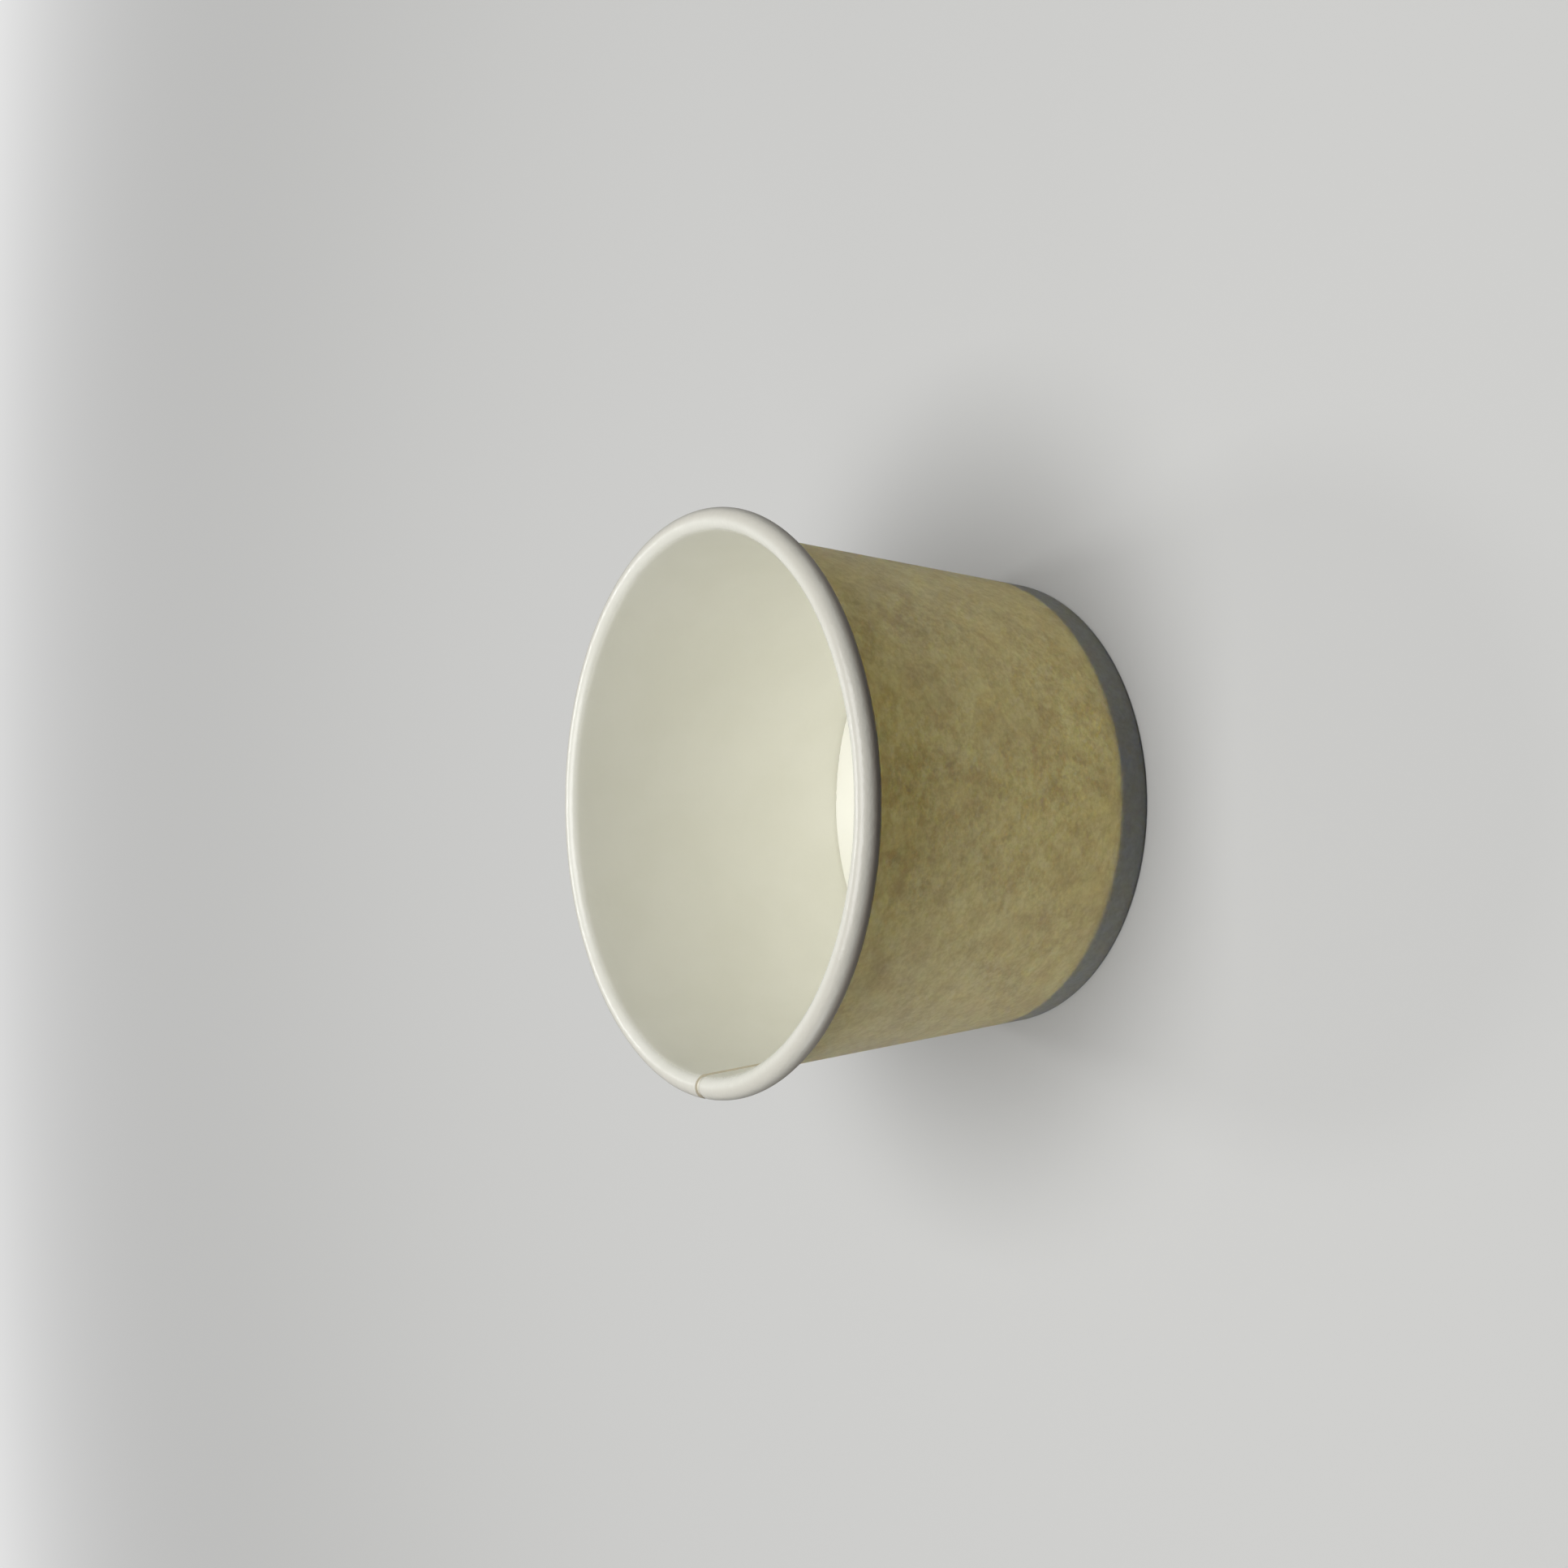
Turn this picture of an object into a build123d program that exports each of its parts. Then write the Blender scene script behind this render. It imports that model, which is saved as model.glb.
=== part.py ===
from build123d import *
import math
import os

os.makedirs("parts", exist_ok=True)

# Small paper cup for ice cream, made of two pieces of coated board. The side wall is one
# sheet: a cone closed by a lap seam, rolled outwards into the rim at the top, and folded
# inwards and up into a hem at the foot. The floor is a disc with its edge turned down as a
# skirt, which the hem holds. The origin is the middle of the foot and +Z is the cup's axis.
# Lengths are in millimetres. A direction is in degrees from +X, seen from above.

# Outer sizes of the cup
rim_diameter = 74.0
foot_diameter = 61.4
cup_height = 48.6

# Board of the wall, the roll at its upper end and the tightness of the fold at the foot
wall_board = 0.3
curl_diameter = 3.0
curl_clearance = 0.1
fold_radius = 0.1

# Lap seam: direction of the raw edge inside the cup, width glued, and width of the step
lap_direction = 181.4
lap_width = 6.0
step_width = 1.2

# Floor disc, and the free heights that its skirt and the hem leave
floor_height = 5.2
floor_board = 0.3
floor_bend = 0.3
glue_gap = 0.02
hem_clearance = 0.3

# Place of the roll in a section of the cup, where X is the radius and Y is the height
foot_radius = foot_diameter / 2
curl_radius = curl_diameter / 2
curl_centre = Vector(rim_diameter / 2 - curl_radius, cup_height - curl_radius)

# Lean of the wall: its white inner face runs up tangent to the outside of the roll
curl_reach = curl_centre.X - foot_radius
curl_rise = curl_centre.Y
wall_lean = math.atan2(curl_reach, curl_rise) - math.asin(
    (curl_radius - wall_board) / math.hypot(curl_reach, curl_rise)
)
lean_degrees = math.degrees(wall_lean)
outward = Vector(math.cos(wall_lean), -math.sin(wall_lean))

# The roll turns until its free edge is a clearance short of the double wall at the seam
free_edge = math.degrees(math.acos((curl_radius - 2 * wall_board - curl_clearance) / curl_radius))
curl_turn = 360 - free_edge

# The fold at the foot has a flat land to stand on, and room for the skirt inside it
skirt_room = floor_board + 2 * glue_gap
land_width = (skirt_room - 2 * fold_radius) / math.cos(wall_lean)
bend_level = wall_board + fold_radius

# Levels of the floor's underside, of the skirt's lower edge and of the hem's upper edge
floor_underside = floor_height - floor_board
skirt_foot = bend_level + glue_gap
hem_height = floor_underside - floor_bend - hem_clearance


def wall_radius(height, depth):
    """Radius, at a height, of the conical surface that lies depth behind the wall's white face."""
    return foot_radius + (depth - wall_board) / math.cos(wall_lean) + height * math.tan(wall_lean)


def board_line(depth):
    """Draw the line of the board at one depth behind its white face, from the hem to the roll."""
    bend = fold_radius + depth
    hem_bend = Vector(wall_radius(bend_level, fold_radius - skirt_room), bend_level)
    hem_top = Vector(wall_radius(hem_height, -skirt_room - depth), hem_height)
    hem = Line(hem_top, hem_bend - outward * bend)
    inner_bend = JernArc(hem @ 1, hem % 1, bend, 90 + lean_degrees)
    land = Line(inner_bend @ 1, inner_bend @ 1 + Vector(land_width, 0))
    outer_bend = JernArc(land @ 1, land % 1, bend, 90 - lean_degrees)
    wall = Line(outer_bend @ 1, curl_centre - outward * (curl_radius - depth))
    roll = JernArc(wall @ 1, wall % 1, curl_radius - depth, -curl_turn)
    return hem @ 0, roll @ 1


def board_section(near, far):
    """Section of the board between two depths behind its white face."""
    with BuildSketch() as section:
        with BuildLine():
            near_hem, near_roll = board_line(near)
            far_hem, far_roll = board_line(far)
            Line(near_hem, far_hem)
            Line(near_roll, far_roll)
        make_face()
    return section.sketch


def radial_plane(direction):
    """Plane through the cup's axis, with its X pointing outwards in the given direction."""
    return Plane.XZ.rotated((0, 0, direction))


# The sheet starts at the raw edge inside the cup and goes all the way round, clockwise from
# above. Just before it meets its own beginning it steps out by its thickness, and then laps
# over the first layer.
seam_radius = curl_centre.X - curl_radius
lap_turn = math.degrees(lap_width / seam_radius)
step_turn = math.degrees(step_width / seam_radius)
lap_end = lap_direction - lap_turn
step_start = lap_direction + step_turn

with BuildPart() as side_wall:
    with BuildSketch(radial_plane(step_start)):
        add(board_section(0, wall_board))
    revolve(axis=Axis.Z, revolution_arc=360 - lap_turn - step_turn)
    with BuildSketch(radial_plane(lap_end)):
        add(board_section(0, 2 * wall_board))
    revolve(axis=Axis.Z, revolution_arc=lap_turn)
    with BuildSketch(radial_plane(step_start)):
        add(board_section(0, wall_board))
    with BuildSketch(radial_plane(lap_direction)):
        add(board_section(wall_board, 2 * wall_board))
    loft(ruled=True)
    # The double fold at the seam is pressed flush with the land
    split(bisect_by=Plane.XY, keep=Keep.TOP)
side_wall.part.label = "side_wall"

with BuildPart() as floor_disc:
    with BuildSketch(Plane.XZ):
        with BuildLine():
            Polyline(
                (0, floor_height),
                (wall_radius(floor_height, -glue_gap), floor_height),
                (wall_radius(skirt_foot, -glue_gap), skirt_foot),
                (wall_radius(skirt_foot, -glue_gap - floor_board), skirt_foot),
                (wall_radius(floor_underside, -glue_gap - floor_board), floor_underside),
                (0, floor_underside),
                close=True,
            )
        disc = make_face()
        upper_corner = disc.vertices().group_by(Axis.Y)[-1].sort_by(Axis.X)[-1]
        under_corner = disc.vertices().group_by(Axis.Y)[-2].sort_by(Axis.X)[-1]
        fillet(upper_corner, floor_bend + floor_board)
        fillet(under_corner, floor_bend)
    revolve(axis=Axis.Z)
floor_disc.part.label = "floor_disc"

export_step(side_wall.part, "parts/side_wall.step")
export_step(floor_disc.part, "parts/floor_disc.step")
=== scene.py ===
# %% [markdown]
# # A small paper cup for ice cream
#
# The cup is two pieces of coated board. The side wall is one sheet, wrapped into a cone, lapped
# over itself at a seam, rolled outwards at the rim and folded inwards at the foot. The floor is a
# disc with its edge turned down.
#
# The board is pale and thin, and this gives the cup its look. Lit from above, the inside is nearly
# white, and its light shines through the wall, so that the outside glows olive tan and shows the
# clouds of the paper. Only the foot stays grey, where the hem and the floor back the wall.
#
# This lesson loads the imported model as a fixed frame, wraps the sheet with Geometry Nodes, gives
# each face its own procedural material, and lights the cup like a small thing on a table. Every
# length is in metres.

# %% Load the frame
import math

import bpy
from mathutils import Matrix, Vector


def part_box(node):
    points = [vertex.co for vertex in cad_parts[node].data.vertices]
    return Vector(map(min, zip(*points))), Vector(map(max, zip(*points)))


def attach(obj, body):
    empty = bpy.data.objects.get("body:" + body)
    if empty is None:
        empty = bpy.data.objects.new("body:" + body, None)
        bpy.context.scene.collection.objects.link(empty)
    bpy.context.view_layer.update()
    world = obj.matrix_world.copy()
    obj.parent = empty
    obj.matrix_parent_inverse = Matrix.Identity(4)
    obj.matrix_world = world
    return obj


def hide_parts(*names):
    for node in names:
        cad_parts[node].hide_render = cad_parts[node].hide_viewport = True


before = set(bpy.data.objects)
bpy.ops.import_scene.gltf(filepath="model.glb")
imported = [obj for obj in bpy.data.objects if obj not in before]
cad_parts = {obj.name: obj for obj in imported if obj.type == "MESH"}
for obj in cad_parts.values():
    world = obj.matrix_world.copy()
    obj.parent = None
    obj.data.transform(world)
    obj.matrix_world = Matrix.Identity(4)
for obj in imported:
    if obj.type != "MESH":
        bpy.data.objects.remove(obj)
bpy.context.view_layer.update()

# %% [markdown]
# ## Sizes
#
# The width of the rim and the height come from the frame, so that the sheet ends up where the CAD
# says. The frame gives only the outer box of a piece, so the radius of the foot is written down,
# and so are the sizes of the board itself: how thick it is, how tightly it is folded at the foot
# and how wide the roll at the rim is. A cone has one more number that everything hangs on, the
# lean of its wall. The white face of the wall runs up tangent to the outside of the roll, and
# this gives the lean.

# %% Sizes of the sheet
mm = 0.001
quarter_turn = math.pi / 2
full_turn = 2 * math.pi

rim_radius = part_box("side_wall")[1].x
cup_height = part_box("side_wall")[1].z
foot_radius = 30.7 * mm

board = 0.3 * mm
fold_radius = 0.1 * mm
roll_radius = 1.5 * mm
roll_clearance = 0.1 * mm
skirt_room = 0.34 * mm
hem_height = 4.3 * mm

roll_centre = Vector((rim_radius - roll_radius, cup_height - roll_radius))
roll_reach = roll_centre.x - foot_radius
wall_lean = math.atan2(roll_reach, roll_centre.y) - math.asin(
    (roll_radius - board) / math.hypot(roll_reach, roll_centre.y)
)
roll_turn = full_turn - math.acos((roll_radius - 2 * board - roll_clearance) / roll_radius)
print("the wall leans", round(math.degrees(wall_lean), 2), "degrees")

# %% [markdown]
# ## The line of the board
#
# Cut through the wall and the board is one thin line: down the hem, round a tight fold, along the
# narrow land that the cup stands on, round the second fold, up the wall, and round the roll. Each
# of these stretches is straight or an arc. A length and a turn describe it fully, so the whole
# section is a short table, and every length is worked out at the white face.

# %% Stretches of the board, from the raw edge of the hem to the end of the roll
bend_level = board + fold_radius


def wall_radius(height, depth):
    """Radius, at a height, of the conical surface that lies depth behind the wall's white face."""
    return foot_radius + (depth - board) / math.cos(wall_lean) + height * math.tan(wall_lean)


hem_length = (hem_height - bend_level - fold_radius * math.sin(wall_lean)) / math.cos(wall_lean)
land_length = (skirt_room - 2 * fold_radius) / math.cos(wall_lean)
wall_rise = roll_centre - Vector((wall_radius(bend_level, -fold_radius), bend_level))
wall_length = wall_rise.x * math.sin(wall_lean) + wall_rise.y * math.cos(wall_lean)
inner_turn = quarter_turn + wall_lean
outer_turn = quarter_turn - wall_lean

# Each stretch has a name, a number of rows of faces, a length, and a turn to the left
stretches = (
    ("Hem", 8, hem_length, 0.0),
    ("Inner Fold", 6, fold_radius * inner_turn, inner_turn),
    ("Land", 2, land_length, 0.0),
    ("Outer Fold", 6, fold_radius * outer_turn, outer_turn),
    ("Wall", 40, wall_length, 0.0),
    ("Roll", 42, roll_radius * roll_turn, -roll_turn),
)
rows = [count for name, count, length, turn in stretches]
foot_stretches = stretches[:4]
foot_offset = sum(length for name, count, length, turn in foot_stretches)
board_length = sum(length for name, count, length, turn in stretches)
print("the board is", round(board_length / mm, 1), "mm from the hem to the end of the roll")

# %% [markdown]
# ## Numbers that are sockets
#
# Both the shape and the colours of this cup are arithmetic on fields. Written node by node, such
# arithmetic can't be read. So one small class wraps an output socket and lets Python's own signs
# add the Math nodes, and a second class adds any other node: its type, its settings, and then the
# values or links of its sockets. The same two classes serve Geometry Nodes and materials.


# %% A socket with arithmetic
class Value:
    """One output socket, on which + - * / add Math nodes."""

    def __init__(self, tree, socket):
        self.tree = tree
        self.socket = socket

    def __add__(self, other):
        return self.tree.math("ADD", self, other)

    def __radd__(self, other):
        return self.tree.math("ADD", other, self)

    def __sub__(self, other):
        return self.tree.math("SUBTRACT", self, other)

    def __rsub__(self, other):
        return self.tree.math("SUBTRACT", other, self)

    def __mul__(self, other):
        return self.tree.math("MULTIPLY", self, other)

    def __rmul__(self, other):
        return self.tree.math("MULTIPLY", other, self)

    def __truediv__(self, other):
        return self.tree.math("DIVIDE", self, other)

    def output(self, name):
        """Another output of the same node."""
        return Value(self.tree, self.socket.node.outputs[name])


# %% A tree that adds nodes
class Tree:
    """Adds nodes to a node tree, of a material or of Geometry Nodes."""

    def __init__(self, owner):
        self.nodes = owner.nodes
        self.links = owner.links

    def add(self, kind, settings=None, inputs=None, output=0):
        """One node: its type, its settings, then the values or links of its sockets."""
        node = self.nodes.new(kind)
        for name, value in (settings or {}).items():
            setattr(node, name, value)
        for name, value in (inputs or {}).items():
            if isinstance(value, Value):
                self.links.new(value.socket, node.inputs[name])
            else:
                node.inputs[name].default_value = value
        return Value(self, node.outputs[output]) if node.outputs else node

    def math(self, operation, *values, clamp=False):
        """A Math node on sockets and numbers."""
        settings = {"operation": operation, "use_clamp": clamp}
        return self.add("ShaderNodeMath", settings, dict(enumerate(values)))

    def sine(self, angle):
        return self.math("SINE", angle)

    def cosine(self, angle):
        return self.math("COSINE", angle)

    def smooth(self, value, low, high):
        """0 below low, 1 above high, and a smooth step between them."""
        inputs = {"Value": value, "From Min": low, "From Max": high}
        return self.add("ShaderNodeMapRange", {"interpolation_type": "SMOOTHSTEP"}, inputs)

    def vector(self, x, y, z):
        """A vector from three numbers or sockets."""
        return self.add("ShaderNodeCombineXYZ", None, {0: x, 1: y, 2: z})

    def noise(self, place, size, detail, roughness=0.5):
        """Soft noise from 0 to 1, with patches of about the given size."""
        inputs = {"Vector": place, "Scale": 1 / size, "Detail": detail, "Roughness": roughness}
        return self.add("ShaderNodeTexNoise", None, inputs)


print("a socket can now be added, multiplied and passed on")

# %% [markdown]
# ## The wrapped sheet
#
# On a cup machine a flat blank is wrapped round a cone. Its second edge laps over the first, and
# because the first layer lies on the cone, the second one has to step out, by one thickness of
# board. Inside the cup, and over the roll, this leaves a fine groove beside the raw edge of the
# first layer, and the raw edge stands a little proud of it. Outside, round the far side, the raw
# edge of the second layer ends the lap.
#
# A turned shape would lose all this. Here the blank is a slab, one Mesh Cube with a grid of points
# on its faces. Each point has three numbers: how far round it is, how far along the board, and how
# deep in it. Geometry Nodes work out from them where the point goes. The tree gets an input for
# every size, so that the same tree could wrap another cup.

# %% The tree and its inputs
seam_direction = math.radians(181.4)
seam_radius = roll_centre.x - roll_radius
lap_width = 6.0 * mm
step_width = 1.2 * mm
ease_width = 3.0 * mm
proud = 0.03 * mm
unevenness = 0.16 * mm
layer_gap = 0.004 * mm

sheet_sizes = {
    "Board": board,
    "Step Depth": board + layer_gap,
    "Seam Direction": seam_direction,
    "Lap Turn": lap_width / seam_radius,
    "Step Turn": step_width / seam_radius,
    "Ease Turn": ease_width / seam_radius,
    "Proud": proud,
    "Wall Lean": wall_lean,
    "Start Radius": wall_radius(hem_height, -skirt_room),
    "Start Height": hem_height,
    "Start Heading": -inner_turn,
    "Foot Offset": foot_offset,
    "Foot Radius": foot_radius,
    "Unevenness": unevenness,
}
for name, count, length, turn in stretches:
    sheet_sizes[name + " Length"] = length
    sheet_sizes[name + " Turn"] = turn

sheet_group = bpy.data.node_groups.new("wrapped_sheet", "GeometryNodeTree")
interface = sheet_group.interface
interface.new_socket(name="Geometry", in_out="OUTPUT", socket_type="NodeSocketGeometry")
for name in sheet_sizes:
    interface.new_socket(name=name, in_out="INPUT", socket_type="NodeSocketFloat")
for name in ("Inner Side", "Outer Side", "Cut Edge"):
    interface.new_socket(name=name, in_out="INPUT", socket_type="NodeSocketMaterial")

sheet_tree = Tree(sheet_group)
sheet_start = sheet_tree.nodes.new("NodeGroupInput")
size = {socket.name: Value(sheet_tree, socket) for socket in sheet_start.outputs if socket.name}
print("the wrapped sheet has", len(size), "inputs")

# %% [markdown]
# ### The slab
#
# The slab is a unit cube with many columns and rows and no division in its depth. Columns are
# shared out over the body, the short step and the lap, and rows over the stretches of the board,
# so that the tight folds and the roll get enough of them. Counting cells and clamping the count to
# each stretch says how much of that stretch a point has passed.

# %% The slab and how far each point has come
# Columns of faces on the body, on the step and on the lap
columns = (336, 8, 10)

slab = sheet_tree.add(
    "GeometryNodeMeshCube",
    None,
    {
        "Size": (1.0, 1.0, 1.0),
        "Vertices X": sum(columns) + 1,
        "Vertices Y": sum(rows) + 1,
        "Vertices Z": 2,
    },
)
slab_place = sheet_tree.add(
    "ShaderNodeSeparateXYZ", None, {0: sheet_tree.add("GeometryNodeInputPosition")}
)


def passed_shares(place, counts):
    """The part of each stretch that is passed, from 0 to 1, at a place from -0.5 to 0.5."""
    cells = (place + 0.5) * sum(counts)
    passed = []
    first = 0
    for count in counts:
        passed.append(sheet_tree.math("DIVIDE", cells - first, count, clamp=True))
        first += count
    return passed


passed = dict(zip([row[0] for row in stretches], passed_shares(slab_place.output("Y"), rows)))
print("the slab has", sum(columns), "columns and", sum(rows), "rows on each side")

# %% [markdown]
# ### Going round
#
# The angle grows from the raw edge inside the cup, once round the body, over the step and along
# the lap. This cup's sheet goes round clockwise, seen from above, so the slab is read from its far
# end. Turned the other way it would come out inside out.
#
# The second layer is the part past the step. The board under the lap belongs to the first layer,
# and it matters too, because both layers are pressed together at the foot.

# %% The angle of each point, and its layer
body_share, step_share, lap_share = passed_shares(slab_place * -1.0, columns)
angle = (
    (full_turn - size["Step Turn"]) * body_share
    + size["Step Turn"] * step_share
    + size["Lap Turn"] * lap_share
)
direction = size["Seam Direction"] - angle
round_x = sheet_tree.cosine(direction)
round_y = sheet_tree.sine(direction)

second_layer = sheet_tree.smooth(step_share, 0.0, 1.0)
lap_end = size["Lap Turn"] + size["Step Turn"]
under_lap = 1.0 - sheet_tree.smooth(angle, size["Lap Turn"], lap_end)
doubled = sheet_tree.math("MAXIMUM", under_lap, second_layer)
ease_end = size["Lap Turn"] + size["Ease Turn"]
before_ease = 1.0 - sheet_tree.smooth(angle, size["Lap Turn"], ease_end)
raised = sheet_tree.math("MAXIMUM", before_ease, second_layer)
print("the lap covers", round(math.degrees(lap_width / seam_radius), 1), "degrees")

# %% [markdown]
# ### Going along
#
# This is the table of stretches, walked through as a pen would draw it. On a straight stretch the
# heading stays. On an arc it turns, and the radius and the height follow the sine and the cosine
# of the heading, times the radius of the arc, which is its length over its turn.

# %% Radius, height and heading of the board's white face
radius = size["Start Radius"]
height = size["Start Height"]
heading = size["Start Heading"]
along = size["Foot Offset"] * -1.0
for name, count, length, turn in stretches:
    gone = size[name + " Length"] * passed[name]
    along = along + gone
    if turn:
        arc_radius = size[name + " Length"] / size[name + " Turn"]
        ahead = heading + size[name + " Turn"] * passed[name]
        radius = radius + arc_radius * (sheet_tree.sine(ahead) - sheet_tree.sine(heading))
        height = height + arc_radius * (sheet_tree.cosine(heading) - sheet_tree.cosine(ahead))
        heading = ahead
    else:
        radius = radius + gone * sheet_tree.cosine(heading)
        height = height + gone * sheet_tree.sine(heading)
print("the line of the board takes", len(sheet_tree.nodes), "nodes so far")

# %% [markdown]
# ### Going deep
#
# The outer face lies one board deeper than the inner one, square to the heading. The second layer
# lies one board deeper again. The lap springs back a little, towards the inside of the cup, which
# makes the raw edge stand proud. At the foot the double fold would push through the table, so there
# both layers are pressed to half their thickness, as the cup machine does.
#
# A real cup is never quite round either. Slow noise lets the free part of the wall and the rim
# wander by less than a tenth of a millimetre, and it is the same noise for both layers. The noise
# is read on rings, once round for once round the cup, so that it meets itself.

# %% Depth in the board
# The press at the foot starts at a share of the hem and ends at a share of the wall
press_start = 0.7
press_end = 0.03

near_fold = sheet_tree.smooth(passed["Hem"], press_start, 1.0) * (
    1.0 - sheet_tree.smooth(passed["Wall"], 0.0, press_end)
)
depth = (slab_place.output("Z") + 0.5) * size["Board"] + second_layer * size["Step Depth"]
depth = depth / (1.0 + doubled * near_fold) - raised * size["Proud"] * (1.0 - near_fold)
print("the press ends", round(press_end * wall_length / mm, 1), "mm up the wall")

# %% The wander of the wall, and where each point goes
# The radii and levels of the rings and the size of the patches share one measure, in which the
# ring of the wall has a radius of 1
patch_size = 0.9
wall_ring_rise = 0.8
rim_ring = 1.3
rim_ring_level = 4.0
free_start = 0.15
free_end = 0.8

wall_spot = sheet_tree.vector(round_x, round_y, passed["Wall"] * wall_ring_rise)
wander = (sheet_tree.noise(wall_spot, patch_size, 1.0) - 0.5) * size["Unevenness"]
wander = wander * sheet_tree.smooth(passed["Wall"], free_start, free_end)
rim_spot = sheet_tree.vector(round_x * rim_ring, round_y * rim_ring, rim_ring_level)
lift = (sheet_tree.noise(rim_spot, patch_size, 1.0) - 0.5) * size["Unevenness"] * passed["Wall"]

out = radius + depth * sheet_tree.sine(heading) + wander
up = height - depth * sheet_tree.cosine(heading) + lift
point = sheet_tree.vector(out * round_x, out * round_y, up)
print("a point's place is known from its three numbers")

# %% [markdown]
# ### What the sheet remembers
#
# The clouds of the paper were in the board while it was still flat. The blank is a part of a ring
# round the apex of the cone, and a pattern drawn on this flat shape wraps with the board, meets
# itself only at the seam, and follows the lean of the wall. So each point keeps its place on the
# flat blank, and its distance along the board from the foot. Each face keeps which side of the slab
# it was on.

# %% Notes kept on the sheet
# The pattern is a slice of solid noise, taken between the grid planes that the noise is built on
pattern_depth = 7.3 * mm
slant = along + size["Foot Radius"] / sheet_tree.sine(size["Wall Lean"])
fan = (math.pi - angle) * sheet_tree.sine(size["Wall Lean"])
flat = sheet_tree.vector(slant * sheet_tree.sine(fan), slant * sheet_tree.cosine(fan), pattern_depth)
side = sheet_tree.add(
    "ShaderNodeSeparateXYZ", None, {0: sheet_tree.add("GeometryNodeInputNormal")}, "Z"
)

sheet = slab
for name, data_type, domain, value in (
    ("side", "FLOAT", "FACE", side),
    ("along", "FLOAT", "POINT", along),
    ("flat", "FLOAT_VECTOR", "POINT", flat),
):
    sheet = sheet_tree.add(
        "GeometryNodeStoreNamedAttribute",
        {"data_type": data_type, "domain": domain},
        {"Geometry": sheet, "Name": name, "Value": value},
    )
sheet = sheet_tree.add("GeometryNodeSetPosition", None, {"Geometry": sheet, "Position": point})
print("the slab is wrapped and keeps its notes")

# %% [markdown]
# ### Faces and edges
#
# The board is smooth to look at but has crisp cut edges, so edges that turn sharply are marked and
# the rest is shaded smooth. Then the faces get their materials from the side that they kept: the
# coated inner side, the outer side, and the raw edge of the board. The tree ends in Realize
# Instances and Set Material, so that what leaves it is one plain mesh.

# %% Shading and materials of the sheet
crease_angle = math.radians(40.0)

sheet = sheet_tree.add("GeometryNodeSetShadeSmooth", {"domain": "FACE"}, {0: sheet})
edge_bend = sheet_tree.add("GeometryNodeInputMeshEdgeAngle")
creased = sheet_tree.math("GREATER_THAN", edge_bend, crease_angle)
sheet = sheet_tree.add(
    "GeometryNodeSetShadeSmooth",
    {"domain": "EDGE"},
    {0: sheet, "Selection": creased, "Shade Smooth": False},
)
sheet = sheet_tree.add("GeometryNodeRealizeInstances", None, {"Geometry": sheet})

kept_side = sheet_tree.add(
    "GeometryNodeInputNamedAttribute", {"data_type": "FLOAT"}, {"Name": "side"}
)
# The kept side is -1 on the inner face, 1 on the outer face and 0 on the cut edges
for name, low, high in (("Cut Edge", -0.5, 0.5), ("Inner Side", -2.0, -0.5), ("Outer Side", 0.5, 2.0)):
    above = sheet_tree.math("GREATER_THAN", kept_side, low)
    below = sheet_tree.math("LESS_THAN", kept_side, high)
    sheet = sheet_tree.add(
        "GeometryNodeSetMaterial",
        None,
        {"Geometry": sheet, "Selection": above * below, "Material": size[name]},
    )
sheet_tree.add("NodeGroupOutput", None, {"Geometry": sheet})
print("the tree of the wrapped sheet has", len(sheet_tree.nodes), "nodes")

# %% [markdown]
# ## Colours
#
# A colour picker gives sRGB values, and shader sockets want scene-linear ones. One function
# changes the first into the second, so that every colour below can be read as a picker shows it.


# %% Colours, and the start of a material
def colour(red, green, blue):
    """Scene-linear colour from sRGB values of 0 to 255."""
    picked = [value / 255 for value in (red, green, blue)]
    linear = [
        value / 12.92 if value <= 0.04045 else ((value + 0.055) / 1.055) ** 2.4 for value in picked
    ]
    return (*linear, 1.0)


def mix(tree, factor, first, second):
    """The first colour where the factor is 0, and the second where it is 1."""
    inputs = {0: factor, 6: first, 7: second}
    return tree.add("ShaderNodeMix", {"data_type": "RGBA"}, inputs, 2)


def new_material(name):
    """An empty node material and its tree."""
    material = bpy.data.materials.new(name)
    material.use_nodes = True
    material.node_tree.nodes.clear()
    return material, Tree(material.node_tree)


def surface(tree, base, roughness, normal, **constants):
    """A shader. What varies over the surface comes first, and constants are set on its sockets."""
    inputs = {"Base Color": base, "Roughness": roughness, "Normal": normal}
    inputs.update({name.replace("_", " "): value for name, value in constants.items()})
    return tree.add("ShaderNodeBsdfPrincipled", None, inputs)


def finish(tree, shader):
    """Make a shader the surface of its material."""
    tree.add("ShaderNodeOutputMaterial", None, {"Surface": shader})


def bump(tree, height, distance, strength):
    """A normal that follows a height field, where 1 stands distance above 0."""
    inputs = {"Height": height, "Distance": distance, "Strength": strength}
    return tree.add("ShaderNodeBump", None, inputs)


print("middle grey in scene-linear numbers is", round(colour(128, 128, 128)[0], 3))

# %% [markdown]
# ## The white coating
#
# The inside of the cup is white board with a thin film of plastic, a little warm in colour. The
# film is smooth but it follows the fibres below it, so a highlight on the rim breaks up a little.
# Two sizes of noise do it: one of a third of a millimetre for the grain and one of a millimetre or
# two for the fibres, both as bump, and the grain changes the gloss slightly too. Slow noise makes
# the colour a little cloudy.
#
# The roll at the rim is pressed by its tool, so there the film is glossier and its relief is
# stronger. Over the top and the outer side of the roll, its colour is a painted shade, a duller
# white. Where the roll turns under, it is a painted shade too, darker and browner, as if lit by
# warm light thrown back from the wall. The distance along the board says where that is. On the
# floor it is 0 everywhere.

# %% Relief, gloss and colours of the film
relief_height = 0.05 * mm
relief_strength = 0.5
grain_share = 0.35
roll_relief = 2.0

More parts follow.
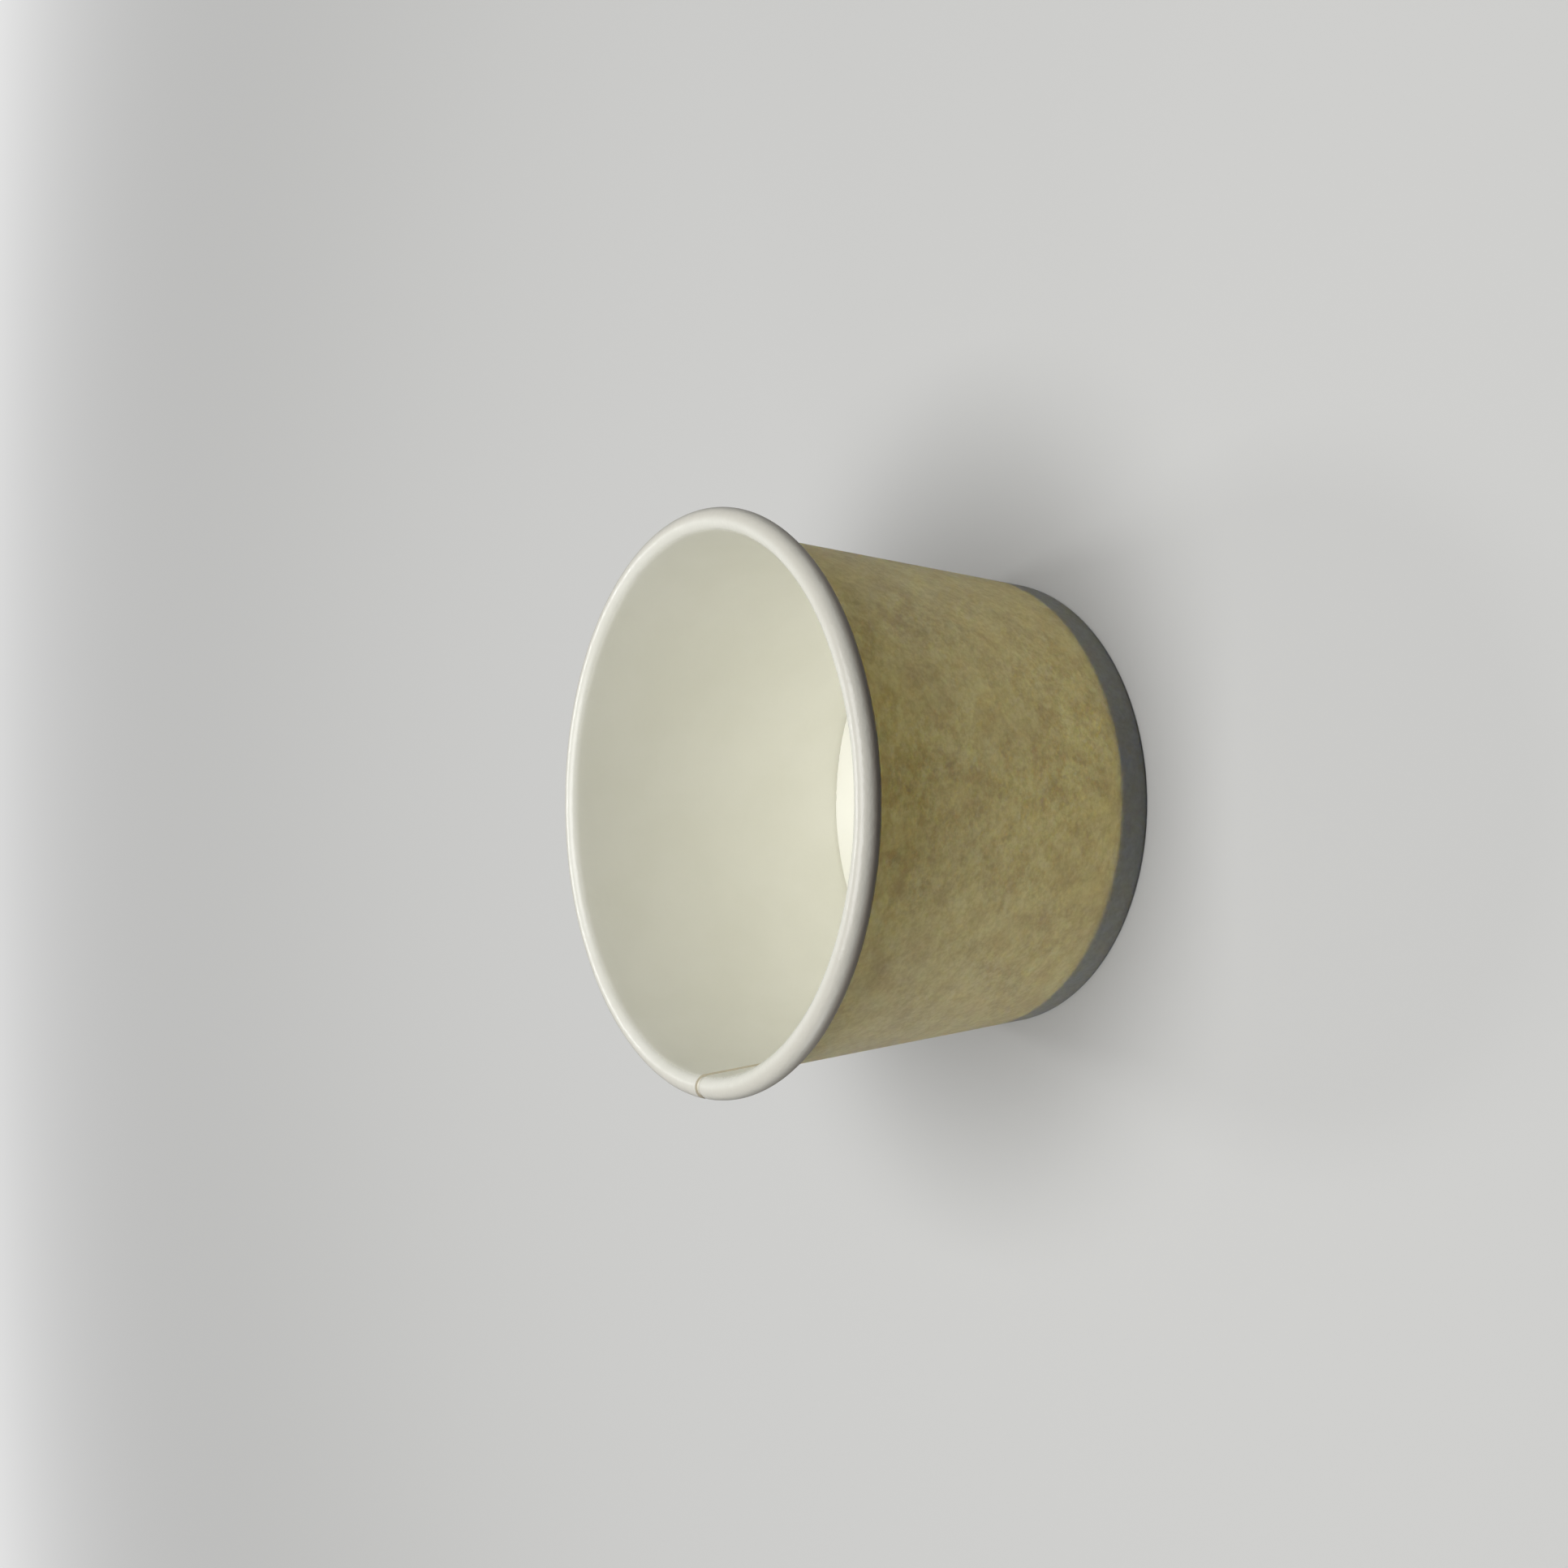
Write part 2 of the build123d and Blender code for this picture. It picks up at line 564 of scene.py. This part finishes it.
film_roughness = 0.32
film_grain_roughness = 0.12
roll_polish = 0.15

# Painted shade for the roll's top and outer side, a duller white
painted_shade_on_roll = colour(228, 225, 213)
# Painted shade for the roll's underside, a darker and browner white
painted_warm_shade_on_roll = colour(222, 207, 189)

# Places on the roll, in degrees that the board has turned since the wall
roll_start, roll_full, over_start, over_end, under_start, under_end = (
    wall_length + roll_radius * math.radians(turned)
    for turned in (0.0, 40.0, 60.0, 110.0, 150.0, 200.0)
)
print("the film is dullest from", round(over_end / mm, 1), "mm along the board")


# %% White coated board
def coated_white(name, pale, dull):
    """White board under a thin film, with painted shade on the roll at the rim."""
    material, tree = new_material(name)
    place = tree.add("ShaderNodeTexCoord", None, None, "Object")
    cloud = tree.smooth(tree.noise(place, 11 * mm, 3.0), 0.3, 0.7)
    grain = tree.noise(place, 0.32 * mm, 3.0, 0.6)
    fibre = tree.noise(place, 1.6 * mm, 3.0, 0.55)
    base = mix(tree, cloud, pale, dull)

    along_board = tree.add("ShaderNodeAttribute", {"attribute_name": "along"}, None, "Fac")
    painted_shade_over_roll = tree.smooth(along_board, over_start, over_end)
    painted_shade_under_roll = tree.smooth(along_board, under_start, under_end)
    # Painted shade: the roll's top and outer side are made a duller white
    base = mix(tree, painted_shade_over_roll, base, painted_shade_on_roll)
    # Painted shade: where the roll turns under, its white is made darker and browner
    base = mix(tree, painted_shade_under_roll, base, painted_warm_shade_on_roll)

    rolled = tree.smooth(along_board, roll_start, roll_full)
    relief = (grain * grain_share + fibre) * (1.0 + rolled * roll_relief)
    normal = bump(tree, relief, relief_height, relief_strength)
    roughness = film_roughness - rolled * roll_polish + grain * film_grain_roughness
    finish(tree, surface(tree, base, roughness, normal))
    return material


inner_side = coated_white("white_coating", colour(250, 249, 238), colour(247, 246, 234))
floor_white = coated_white("white_coating_of_floor", colour(244, 243, 234), colour(241, 240, 230))
print("made", inner_side.name, "and", floor_white.name)

# %% [markdown]
# ## The thin outer side
#
# Held against the light, paper isn't even. Its fibres lie in clouds, from half a millimetre to
# nearly a centimetre, some more orange and some more olive, with small pale flecks. On a lit cup
# they show from outside, because a part of the light that falls on the inside of the wall comes
# out again on the outside, and the board takes most of its blue.
#
# A painted brown would be the simple way, but it would stay brown at the foot, where the real cup
# turns grey because three layers lie behind each other. Subsurface scattering does both: light
# walks at random through the slab, farthest for red, less far for green and about a third as far
# for blue. The walk ends at a gap, so the lap, where two layers lie on each other, is grey too.
#
# How far it walks can't vary over a surface, so the clouds are a mix of two boards, a dense one
# with a short walk and an open one with a long walk. The pattern reads the flat blank, so it
# follows the board.

# %% Outer side of the thin board
dense_walk = 0.75 * mm
dense_shares = (1.0, 0.795, 0.27)
open_walk = 1.95 * mm
open_shares = (1.0, 0.795, 0.35)
board_roughness = 0.42
board_grain_roughness = 0.14


def thin_board(name):
    """Pale outer side of a board that lets light through, more in some places than in others."""
    material, tree = new_material(name)
    flat_place = tree.add("ShaderNodeAttribute", {"attribute_name": "flat"}, None, "Vector")

    cloud = tree.smooth(tree.noise(flat_place, 8 * mm, 3.0, 0.55), 0.3, 0.7)
    patch = tree.smooth(tree.noise(flat_place, 2.2 * mm, 4.0, 0.65), 0.35, 0.65)
    clump = tree.smooth(tree.noise(flat_place, 0.8 * mm, 3.0, 0.65), 0.35, 0.65)
    fleck = tree.smooth(tree.noise(flat_place, 0.9 * mm, 2.0, 0.5), 0.64, 0.74)
    openness = cloud * 0.35 + patch * 0.3 + clump * 0.2 + fleck * 0.35

    # The open places are the paler ones, and some of the clouds are warmer than the rest
    warm = tree.smooth(tree.noise(flat_place, 6 * mm, 3.0, 0.6), 0.45, 0.7)
    base = mix(tree, patch * 0.5 + clump * 0.5, colour(222, 214, 190), colour(243, 236, 215))
    base = mix(tree, warm * 0.2, base, colour(238, 220, 190))

    grain = tree.noise(flat_place, 0.3 * mm, 3.0, 0.6)
    fibre = tree.noise(flat_place, 1.5 * mm, 3.0, 0.55)
    normal = bump(tree, grain * grain_share + fibre, relief_height, relief_strength)
    dense_board, open_board = (
        surface(
            tree,
            base,
            board_roughness + grain * board_grain_roughness,
            normal,
            Subsurface_Weight=1.0,
            Subsurface_Radius=shares,
            Subsurface_Scale=walk,
        )
        for walk, shares in ((dense_walk, dense_shares), (open_walk, open_shares))
    )
    finish(tree, tree.add("ShaderNodeMixShader", None, {0: openness, 1: dense_board, 2: open_board}))
    return material


outer_side = thin_board("thin_board")
print("made", outer_side.name)

# %% [markdown]
# ## The raw edge
#
# Where the board is cut, its core shows: matt, pale tan, with loose fibres. It is the thin line
# at the seam, and it looks darker than its colour because it stands in a narrow groove.


# %% Cut edge of the board
def raw_edge(name):
    """The core of the board, where it is cut."""
    material, tree = new_material(name)
    place = tree.add("ShaderNodeTexCoord", None, None, "Object")
    fibre = tree.noise(place, 0.15 * mm, 3.0, 0.6)
    base = mix(tree, fibre, colour(234, 223, 200), colour(247, 239, 221))
    finish(tree, surface(tree, base, 0.7 + fibre * 0.2, bump(tree, fibre, 0.04 * mm, 0.6)))
    return material


cut_edge = raw_edge("raw_board_edge")
print("made", cut_edge.name)

# %% [markdown]
# ## The side wall
#
# A modifier holds the tree on an empty object, and each size goes to the socket of that name by
# its identifier. The evaluated result becomes a plain mesh, the modifier goes, and the piece
# stands for the CAD's plain wall.


# %% Make the side wall
def made_by_nodes(name, group, inputs):
    """A plain mesh object from a Geometry Nodes tree and its inputs."""
    maker = bpy.data.objects.new(name, bpy.data.meshes.new(name + "_start"))
    bpy.context.scene.collection.objects.link(maker)
    modifier = maker.modifiers.new(name, "NODES")
    modifier.node_group = group
    for item in group.interface.items_tree:
        if item.in_out == "INPUT":
            modifier[item.identifier] = inputs[item.name]
    graph = bpy.context.evaluated_depsgraph_get()
    mesh = bpy.data.meshes.new_from_object(
        maker.evaluated_get(graph), preserve_all_data_layers=True, depsgraph=graph
    )
    maker.modifiers.clear()
    maker.data = mesh
    mesh.name = name
    return maker


wall = made_by_nodes(
    "wrapped_wall",
    sheet_group,
    {**sheet_sizes, "Inner Side": inner_side, "Outer Side": outer_side, "Cut Edge": cut_edge},
)
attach(wall, "root")
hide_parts("side_wall")
print("the wall has", len(wall.data.polygons), "faces and", len(wall.data.materials), "materials")

# %% [markdown]
# ## The floor
#
# The floor disc has the right shape already, so it stays the CAD's own node and only gets the
# white coating.

# %% Finish the floor
floor_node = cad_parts["floor_disc"]
for index in range(len(floor_node.data.materials)):
    floor_node.data.materials[index] = floor_white
print("the floor has", len(floor_node.data.polygons), "faces")

# %% [markdown]
# ## Table, light and camera
#
# The cup stands on a plain pale table. The camera sees table and sky pale, but little light comes
# from them to the cup, because the under side of the rim is dark on the real cup. A reflection
# counts half, because a satin film shows its surroundings only faintly. Far away the table fades
# into the sky, so that no horizon shows.
#
# A wide soft lamp hangs above the cup and fills its inside evenly. A small lamp behind the cup puts
# a thin streak of light along the top of the rim. Two weak ones light the left and right sides,
# and the sky gives an even, very weak light from everywhere, so that the outside is mostly lit by
# what comes through the board. Together they are as strong as they can be before the floor of the
# cup, which is the brightest place, turns plain white.

# %% How pale the surroundings look
sky_light = 0.08
sky_look = 0.88
reflected_share = 0.5
fade_start = 0.25
fade_end = 1.2


def seen_share(tree):
    """1 where the camera looks, also through glass, less in a reflection, and 0 for the light."""
    camera_ray = tree.add("ShaderNodeLightPath", None, None, "Is Camera Ray")
    reflected = camera_ray.output("Is Glossy Ray") * reflected_share
    looks = tree.math("MAXIMUM", camera_ray, reflected)
    return tree.math("MAXIMUM", looks, camera_ray.output("Is Transmission Ray"))


print("the table has faded into the sky", fade_end, "m away")


# %% Table
def plain_table(name, seen, bounced):
    """A matt table that looks pale but throws little light back, and fades into the sky."""
    material, tree = new_material(name)
    share = seen_share(tree)
    place = tree.add("ShaderNodeTexCoord", None, None, "Object")
    distance = tree.add("ShaderNodeVectorMath", {"operation": "LENGTH"}, {0: place}, "Value")
    fade = tree.smooth(distance, fade_start, fade_end) * share
    matt = tree.add("ShaderNodeBsdfDiffuse", None, {"Color": mix(tree, share, bounced, seen)})
    haze = tree.add("ShaderNodeEmission", None, {"Color": (sky_look, sky_look, sky_look, 1.0)})
    finish(tree, tree.add("ShaderNodeMixShader", None, {0: fade, 1: matt, 2: haze}))
    return material


table_reach = 3.0
table_level = -0.02 * mm
corners = [(-1, -1), (1, -1), (1, 1), (-1, 1)]
table_mesh = bpy.data.meshes.new("table")
table_mesh.from_pydata(
    [(x * table_reach, y * table_reach, table_level) for x, y in corners], [], [(0, 1, 2, 3)]
)
table_mesh.materials.append(plain_table("pale_table", colour(226, 226, 224), colour(36, 36, 36)))
table = bpy.data.objects.new("table", table_mesh)
bpy.context.scene.collection.objects.link(table)
print("the table reaches", table_reach, "m each way")


# %% Lamps and sky
def soft_lamp(name, place, target, size_of_lamp, power):
    """A rectangular area lamp at a place, turned to a target, with its power in watts."""
    data = bpy.data.lights.new(name, "AREA")
    data.shape = "RECTANGLE"
    data.size, data.size_y = size_of_lamp
    data.energy = power
    lamp = bpy.data.objects.new(name, data)
    turn = (Vector(target) - Vector(place)).to_track_quat("-Z", "Y")
    lamp.matrix_world = Matrix.Translation(place) @ turn.to_matrix().to_4x4()
    bpy.context.scene.collection.objects.link(lamp)


# Each lamp has a name, a place, a width and length, and a power
lamps = (
    ("ceiling_lamp", (0.0, -0.12, 0.9), (1.0, 0.5), 6.8),
    ("back_lamp", (0.0, 0.6, 0.62), (0.12, 0.12), 0.6),
    ("left_lamp", (-0.8, -0.1, 0.15), (0.25, 0.4), 0.6),
    ("right_lamp", (0.8, -0.15, 0.15), (0.25, 0.4), 0.2),
)
cup_middle = (0.0, 0.0, cup_height / 2)
for name, place, size_of_lamp, power in lamps:
    soft_lamp(name, place, cup_middle, size_of_lamp, power)

world = bpy.data.worlds.new("sky")
bpy.context.scene.world = world
world.use_nodes = True
world.node_tree.nodes.clear()
sky_tree = Tree(world.node_tree)
sky_strength = sky_light + seen_share(sky_tree) * (sky_look - sky_light)
sky = sky_tree.add(
    "ShaderNodeBackground", None, {"Color": colour(255, 255, 255), "Strength": sky_strength}
)
sky_tree.add("ShaderNodeOutputWorld", None, {"Surface": sky})
print(len(lamps), "lamps and a sky")

# %% [markdown]
# ### Camera
#
# The photograph was taken from in front and above, with the camera turned on its side: up on the
# cup is to the left in the picture. The camera's place came from fitting a pinhole camera to the
# outlines of the rim, the foot and the floor.

# %% Camera at the photograph's angle
frame_pixels = 1932
focal_pixels = 2100
sensor_width = 36.0
camera_distance = 242.3135 * mm
camera_rise = math.radians(40.149)
look_down = math.radians(33.276)
look_aside = math.radians(0.7615)
camera_tilt = math.radians(0.2706)
nearest_view = 0.01

camera_place = Vector((0.0, -math.cos(camera_rise), math.sin(camera_rise))) * camera_distance
ahead_flat = Vector((math.sin(look_aside), math.cos(look_aside), 0.0))
ahead_line = ahead_flat * math.cos(look_down) - Vector((0.0, 0.0, math.sin(look_down)))
level_right = Vector((math.cos(look_aside), -math.sin(look_aside), 0.0))
level_up = level_right.cross(ahead_line)
upright_right = level_right * math.cos(camera_tilt) + level_up * math.sin(camera_tilt)
upright_up = level_up * math.cos(camera_tilt) - level_right * math.sin(camera_tilt)

camera_data = bpy.data.cameras.new("camera")
camera_data.sensor_width = sensor_width
camera_data.lens = sensor_width * focal_pixels / frame_pixels
camera_data.clip_start = nearest_view
camera = bpy.data.objects.new("camera", camera_data)
axes = Matrix((-upright_up, upright_right, -ahead_line)).transposed()
camera.matrix_world = Matrix.Translation(camera_place) @ axes.to_4x4()
bpy.context.scene.collection.objects.link(camera)
bpy.context.scene.camera = camera
bpy.context.scene.view_settings.view_transform = "Standard"
print("the lens is", round(camera_data.lens, 2), "mm")
